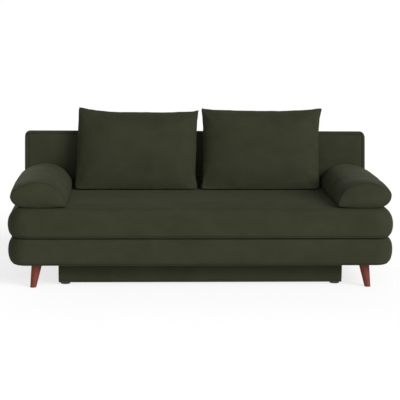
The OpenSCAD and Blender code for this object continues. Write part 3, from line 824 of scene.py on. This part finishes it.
def makeBolster(name, side, seed):
    look = bolsterLook
    low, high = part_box("bolster_cover_" + name)
    chance = np.random.default_rng(seed)
    around = look["around"]
    turns = np.arange(around) * 2 * math.pi / around
    outline = np.array([bolsterPoint(t, low, high, name) for t in turns])
    length, height = high.y - low.y, high.z - low.z
    hub = np.array([0.0, height * look["hub"]])
    rings = bolsterRings(length)
    phase = chance.uniform(0, 2 * math.pi, 3)
    beat = np.sin(look["pleats"] * turns + 1.5 * np.sin(3 * turns + phase[0]))
    beat *= (0.55 + 0.45 * np.sin(5 * turns + phase[1])) * np.where(np.sin(turns) > -0.1, 1, 0.2)
    points = []
    for v, share, cap in rings:
        ends = 1 if v < length / 2 else -1
        fromEnd = min(v, length - v)
        spot = hub + (outline - hub) * share
        inSpan = min(1, max(0, fromEnd - look["dome"]) / look["barrelRun"])
        full = 1 + look["barrel"] / 0.14 * math.sin(math.pi * inSpan / 2)
        spot[:, 0] *= full
        spot[:, 1] *= np.where(spot[:, 1] > 0.04, full, 1)
        gather = np.zeros(around)
        if cap:
            gather = look["pleat"] * beat * math.exp(-(look["capEdge"][0] - share) / look["pleatRun"])
        else:
            tuck = look["tuck"] * math.exp(-max(0.0, fromEnd - look["dome"]) / look["tuckRun"])
            spot = hub + (spot - hub) * (1 - tuck * (0.5 - 0.5 * beat))[:, None]
        points.append(np.column_stack([spot[:, 0], v + ends * gather, spot[:, 1]]))
    count = len(rings)
    points = np.vstack(points + [[[hub[0], 0, hub[1]]], [[hub[0], length, hub[1]]]])
    faces = ringFaces(around, count) + fanFaces(0, around, count * around)
    faces += fanFaces(count - 1, around, count * around + 1)
    soft = np.abs(ripple(points, look["waveLength"], seed)) * look["wave"]
    soft = soft * np.clip(points[:, 2] / 0.03, 0, 1)
    radial = points - np.array([hub[0], 0, hub[1]])
    radial[:, 1] = 0
    points -= radial / np.maximum(np.linalg.norm(radial, axis=1), 1e-6)[:, None] * soft[:, None]
    front = np.clip(1 - points[:, 1] / look["droopRun"], 0, 1) ** 1.4
    lower = np.clip(1 - points[:, 2] / height, 0, 1)
    points[:, 2] -= look["droop"] * front * (0.35 + 0.65 * lower)
    points[:, 1] -= look["droopIn"] * front * lower * np.clip(points[:, 1] / 0.02, 0, 1)
    points[:, 0] *= -side
    points += np.array([(low.x + high.x) / 2, low.y, low.z])
    bolster = makePiece("bolster" + name.capitalize(), points, faces, pillowVelour, "bolster_" + name)
    seamRing = len(look["capShares"])            # counted from either end
    seams = {"Front": seamRing, "Rear": count - 1 - seamRing}
    sewn = [ring * around + j for ring in seams.values() for j in range(around)]
    puffed = fillOut(bolster, look["press"], look["cap"], look["frames"], sewn)
    floor = np.minimum(points[:, 2], low.z + 0.03)
    puffed[:, 2] = np.where(points[:, 2] < low.z + 0.03, np.maximum(puffed[:, 2], floor), puffed[:, 2])
    reshape(bolster, puffed)
    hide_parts("bolster_cover_" + name, "bolster_foam_" + name)
    for tag, ring in seams.items():
        line = puffed[ring * around:(ring + 1) * around]
        threadTube("bolsterSeam" + tag + name.capitalize(), line, look["thread"], "bolster_" + name, True)


# back pillows: two sheets sewn round the edge, standing on the seat and leaning on the backrest
pillowLook = {
    "cell": 0.0115,
    "full": 0.214,                               # greatest depth in front of the backrest
    "topSeam": 0.015,                            # how far the top seam stands off the backrest
    "footSeam": 0.182,                           # how far the bottom seam stands off the backrest
    "offBack": 0.0012,                           # gap to the backrest
    "offSeat": 0.0004,                           # gap to the seat
    "press": 5.0,
    "cap": 0.008,
    "frames": 20,
    "blunt": 0.026,                              # takes the point off each corner
    "pucker": 0.0012,                            # small gathers beside the seam
    "puckerLengths": (0.036, 0.059),
    "puckerRun": 0.022,
    "crease": 0.0024,                            # wide soft dents
    "creaseLength": 0.17,
    "fold": 0.0042,                              # folds that run out of each corner
    "foldRun": 0.085,
}
# each pillow's own outline; a pair is for the outer and the inner side
pillowSide = {
    "left": {
        "ear": (0.034, 0.005),                   # how far the top corners stand up
        "power": (3.1, 3.0),                     # how close to the corner they begin
        "nub": 0.018,                            # a last point at the inner corner
        "drop": 0.0,                             # lowers the top
        "dip": (0.004, 0.014),                   # how far the sides draw in
        "shift": 0.0,                            # moves the pillow to the right
        "shear": 0.014,                          # moves its top to the right
        "wide": 0.0,                             # moves the top outer corner out
        "spread": 0.005,                         # moves the outer side out
        "lip": 0.007,                            # moves the top inner corner in
        "foot": 0.006,                           # moves the foot of the inner side in
    },
    "right": {
        "ear": (0.021, 0.010),
        "power": (2.6, 2.0),
        "nub": 0.012,
        "drop": 0.002,
        "dip": (0.006, 0.010),
        "shift": 0.006,
        "shear": 0.014,
        "wide": 0.026,
        "spread": -0.013,
        "lip": 0.009,
        "foot": 0.007,
    },
}


def pillowOutline(shape, side, half, height, nx, nz):   # places on the flat sheet, and where they are on it
    (outerEar, innerEar), (outerPower, innerPower) = shape["ear"], shape["power"]
    outerDip, innerDip = shape["dip"]
    a, b = np.meshgrid(np.linspace(-1, 1, nx + 1), np.linspace(0, 1, nz + 1), indexing="ij")
    a = np.sign(a) * np.abs(a) ** 0.9
    outer, inner = np.clip(a * side, 0, 1), np.clip(-a * side, 0, 1)
    rise = outerEar * outer ** outerPower + innerEar * inner ** innerPower + shape["nub"] * inner ** 15
    top = height - shape["drop"] - max(outerEar, innerEar + shape["nub"]) + rise
    waist = 1 - np.abs(2 * b - 1) ** 5
    x, up = a * half, b * top
    blunt = pillowLook["blunt"]
    px = np.abs(x) - (half - blunt)
    for atTop in (False, True):
        pz = up - (top - blunt) if atTop else blunt - up
        near = (px > 0) & (pz > 0)
        scale = np.where(near, np.maximum(px, pz) / np.maximum(np.hypot(px, pz), 1e-9), 1)
        x = np.where(near, np.sign(x) * (half - blunt + px * scale), x)
        up = np.where(near, top - blunt + pz * scale if atTop else blunt - pz * scale, up)
    low = np.exp(-b / 0.09)                      # 1 at the foot, nothing above it
    x = x - np.sign(a) * (outerDip * (outer > 0) + innerDip * (inner > 0)) * waist * a * a
    corners = shape["wide"] * outer * b ** 4 - shape["lip"] * inner ** 2 * b
    x = x + side * corners + shape["shear"] * b + shape["shift"]
    x = x + side * (shape["spread"] * outer - shape["foot"] * inner ** 4 * low)
    return a, b, x, up


def makePillow(name, side, seed):
    look = pillowLook
    low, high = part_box("pillow_cover_" + name)
    lean = math.radians(backLook["leanDegrees"])
    half, height = (high.x - low.x) / 2 - 0.001, (high.z - low.z) / math.cos(lean)
    nx, nz = round(2 * half / look["cell"]), round(height / look["cell"])
    a, b, x, up = pillowOutline(pillowSide[name], side, half, height, nx, nz)
    seam = look["topSeam"] + (look["footSeam"] - look["topSeam"]) * (1 - b) ** 1.15
    belly = look["full"] * (1 - b ** 2.5) ** 0.6 * (1 - 0.11 * np.exp(-b / 0.09)) + look["topSeam"] * b
    across = (1 - np.abs(a) ** 3.4) ** 0.55
    front = seam + np.maximum(belly - seam, 0) * across
    flat = ((1 - np.abs(a) ** 7) * (1 - (1 - b) ** 14) * (1 - b ** 9)) ** 0.5
    rear = seam * (1 - flat)
    index, spots, faces = {}, [], []
    for layer, depth in ((0, front), (1, rear)):
        for i in range(nx + 1):
            for k in range(nz + 1):
                if layer and (i in (0, nx) or k in (0, nz)):   # both sheets share the sewn edge
                    index[1, i, k] = index[0, i, k]
                    continue
                index[layer, i, k] = len(spots)
                spots.append((x[i, k], depth[i, k], up[i, k], a[i, k], b[i, k]))
    for layer in (0, 1):
        for i in range(nx):
            for k in range(nz):
                loop = [index[layer, m, n] for m, n in ((i, k), (i + 1, k), (i + 1, k + 1), (i, k + 1))]
                faces.append(loop if layer == 0 else loop[::-1])
    x, depth, up, a, b = np.array(spots).T
    foot = axisY + math.tan(lean) * (low.z - axisZ) - backThick / 2 / math.cos(lean)
    # from the leaning sheet to the frame; the foot is level on the seat
    y = foot - look["offBack"] + up * math.sin(lean) - depth * math.cos(lean)
    z = low.z + look["offSeat"] + up * math.cos(lean) + depth * math.sin(lean) * np.clip(up / height, 0, 1)
    points = np.column_stack([x + (low.x + high.x) / 2, y, z])
    piece = makePiece("pillow" + name.capitalize(), points, faces, pillowVelour, "pillow_" + name)
    rim = [index[0, i, 0] for i in range(nx)] + [index[0, nx, k] for k in range(nz)]
    rim += [index[0, i, nz] for i in range(nx, 0, -1)] + [index[0, 0, k] for k in range(nz, 0, -1)]
    points = fillOut(piece, look["press"], look["cap"], look["frames"], rim)
    normals = np.array([v.normal for v in piece.data.vertices], float)
    chance = np.random.default_rng(seed)
    inX, inZ = (1 - np.abs(a)) * half, np.minimum(b, 1 - b) * height   # distances in from the seam
    edge = np.minimum(inX, inZ)
    along = np.where(inX < inZ, b * height, a * half)
    phases = chance.uniform(0, 6.28, 4)
    coarse, wider = (2 * math.pi / pitch for pitch in look["puckerLengths"])
    tucks = np.sin(along * coarse + phases[0]) * 0.6 + np.sin(along * wider + phases[1])
    pucker = look["pucker"] * tucks * np.exp(-edge / look["puckerRun"]) * np.clip(edge / 0.008, 0.25, 1)
    crease = ripple(points, look["creaseLength"], seed) * look["crease"]
    for sx in (-1, 1):
        for sz in (0, 1):
            inX, inZ = (1 - sx * a) * half, np.abs(b - sz) * height
            angle, reach = np.arctan2(inZ, 1e-6 - inX), np.hypot(inX, inZ)
            fold = np.sin(angle * 9 + phases[2] + sx + 2 * sz)
            crease += look["fold"] * fold * np.exp(-reach / look["foldRun"]) * np.clip(reach / 0.02, 0, 1)
    points = points + normals * (pucker + crease)[:, None]
    behind = (points[:, 1] - (foot - look["offBack"])) * math.cos(lean)
    shift = np.maximum(behind - (points[:, 2] - low.z) * math.sin(lean), 0)   # pressed flat on the backrest
    points[:, 1] -= shift * math.cos(lean)
    points[:, 2] += shift * math.sin(lean)
    points[:, 2] = np.maximum(points[:, 2], low.z + look["offSeat"])
    reshape(piece, points)
    smooth = piece.modifiers.new("smooth", "SUBSURF")
    smooth.levels = 1
    smooth.render_levels = 1
    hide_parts("pillow_cover_" + name, "pillow_filling_" + name)


makeSeatRoll()
makeBaseRoll()
makeRollSeams()
print("rolls made")
makeBackrest()
makeBackrestRoll()
makeBackSeams()
makeBoxSkirt()
print("backrest and box skirt made")
makeBolster("left", -1, 11)
makeBolster("right", 1, 12)
print("bolsters made")
makePillow("left", -1, 31)
makePillow("right", 1, 47)
print("pillows made")


# finishes of the pieces that keep their own shape
finishOf = {
    stainedLeg: ["leg_front_left", "leg_front_right", "leg_rear_left", "leg_rear_right"],
    pineAlong: ["base_front_rail", "base_rear_rail", "seat_front_rail", "seat_rear_rail",
                "back_bottom_rail", "back_top_rail"],
    pineAcross: ["base_end_rails", "base_cross_rails", "seat_end_rails"],
    pineUp: ["back_stiles"],
    beechSlat: ["seat_slats"],
    boxPly: ["box_front", "box_back", "box_side_left", "box_side_right", "box_floor"],
    powderBlack: ["leg_plates", "hinge_brackets", "seat_plates", "back_plates", "ratchet_drums"],
    zincPlate: ["leg_bolts", "hinge_pins", "bracket_screws", "seat_screws", "back_screws"],
    blackPlastic: ["box_feet", "slat_holders"],
    blackRubber: ["seat_buffers"],
    liningFelt: ["base_back_cloth", "seat_dust_cloth"],
    darkWebbing: ["back_webbing"],
}
edgeRound = {                                    # radius: the pieces whose edges it rounds
    0.0025: ["box_feet"],
    0.0020: ["base_front_rail", "base_rear_rail", "base_end_rails"],
    0.0015: ["leg_front_left", "leg_front_right", "leg_rear_left", "leg_rear_right", "seat_slats"],
    0.0010: ["ratchet_drums"],
    0.0008: ["hinge_pins"],
    0.0006: ["hinge_brackets", "seat_plates", "back_plates"],
}
for material, names in finishOf.items():
    for name in names:
        frame["nodes"][name].data.materials.clear()
        frame["nodes"][name].data.materials.append(material)
for radius, names in edgeRound.items():
    for name in names:
        bevel = frame["nodes"][name].modifiers.new("soften", "BEVEL")
        bevel.width = radius
        bevel.segments = 2
        bevel.limit_method = "ANGLE"
        bevel.angle_limit = math.radians(40)
        bevel.harden_normals = False
print("finishes given")

# floor, light and camera
studio = {
    "floorHalf": 400,
    "floorGlow": 0.75,
    "floorShade": 0.26,
    "wallLight": 1.0,                            # the pale wall round the horizon
    "ceilingLight": 0.22,
    "wallHeights": (0.10, 0.40),                 # where the wall ends and the ceiling begins
    # each lamp: where it stands, its power, its softness in degrees
    "lamps": {"keyLight": ((0.65, -0.60, 0.465), 3.5, 30),
              "frontLight": ((-0.08, -0.95, 0.28), 1.0, 60),
              "backLight": ((0.0, 0.90, 0.43), 0.9, 60)},
}
cameraLook = {
    "lens": 120.5,
    "yaw": 2.86,                                 # degrees to the right
    "pitch": 9.27,                               # degrees downward
    "roll": 0.49,
    "aside": -0.3497,                            # metres from the sofa's middle
    "ahead": 6.7115,                             # metres in front of it
    "height": 1.5641,
}


def makeFloor():                                 # a pale sweep that fades into the background
    mesh = bpy.data.meshes.new("floor")
    far = studio["floorHalf"]
    mesh.from_pydata([(-far, -far, 0), (far, -far, 0), (far, far, 0), (-far, far, 0)], [], [(0, 1, 2, 3)])
    floor = bpy.data.objects.new("floor", mesh)
    bpy.context.scene.collection.objects.link(floor)
    f = Finish("paleFloor")
    f.give(Base_Color=(studio["floorShade"],) * 3 + (1,), Roughness=1.0, Specular_IOR_Level=0.0)
    f.give(Emission_Color=(1, 1, 1, 1), Emission_Strength=studio["floorGlow"])
    mesh.materials.append(f.material)


def makeLamp(name, source, power, soft):
    data = bpy.data.lights.new(name, "SUN")
    data.energy = power
    data.angle = math.radians(soft)
    lamp = bpy.data.objects.new(name, data)
    lamp.rotation_euler = (-Vector(source)).to_track_quat("-Z", "Y").to_euler()
    lamp.location = Vector(source) * 4
    bpy.context.scene.collection.objects.link(lamp)


def makeSky():                                   # light from pale walls under a darker ceiling
    world = bpy.data.worlds.new("world")
    world.use_nodes = True
    sky = Nodes(world.node_tree)
    direction = sky.node("ShaderNodeTexCoord", output="Generated")
    height = sky.node("ShaderNodeSeparateXYZ", inputs={"Vector": direction}, output="Z")
    light = sky.ramp(height, studio["wallHeights"], (studio["wallLight"], studio["ceilingLight"]))
    background = world.node_tree.nodes["Background"]
    sky.set(background.inputs["Strength"], light)
    sky.set(background.inputs["Color"], (1, 1, 1, 1))
    bpy.context.scene.world = world
    bpy.context.scene.view_settings.view_transform = "Standard"


def makeCamera():
    look = cameraLook
    data = bpy.data.cameras.new("camera")
    data.sensor_width = 36
    data.lens = look["lens"]
    data.clip_end = 1500
    camera = bpy.data.objects.new("camera", data)
    yaw, pitch, roll = (math.radians(look[key]) for key in ("yaw", "pitch", "roll"))
    right = Vector((math.cos(yaw), -math.sin(yaw), 0))
    level = Vector((math.sin(yaw), math.cos(yaw), 0))
    ahead = level * math.cos(pitch) - Vector((0, 0, math.sin(pitch)))
    up = right.cross(ahead)
    sideways = right * math.cos(roll) + up * math.sin(roll)
    upright = up * math.cos(roll) - right * math.sin(roll)
    turn = Matrix((sideways, upright, -ahead)).transposed()
    place = Matrix.Translation((look["aside"], frontY - look["ahead"], look["height"]))
    camera.matrix_world = place @ turn.to_4x4()
    bpy.context.scene.collection.objects.link(camera)
    bpy.context.scene.camera = camera


makeFloor()
for name, lamp in studio["lamps"].items():
    makeLamp(name, *lamp)
makeSky()
makeCamera()
print("floor, light and camera made")
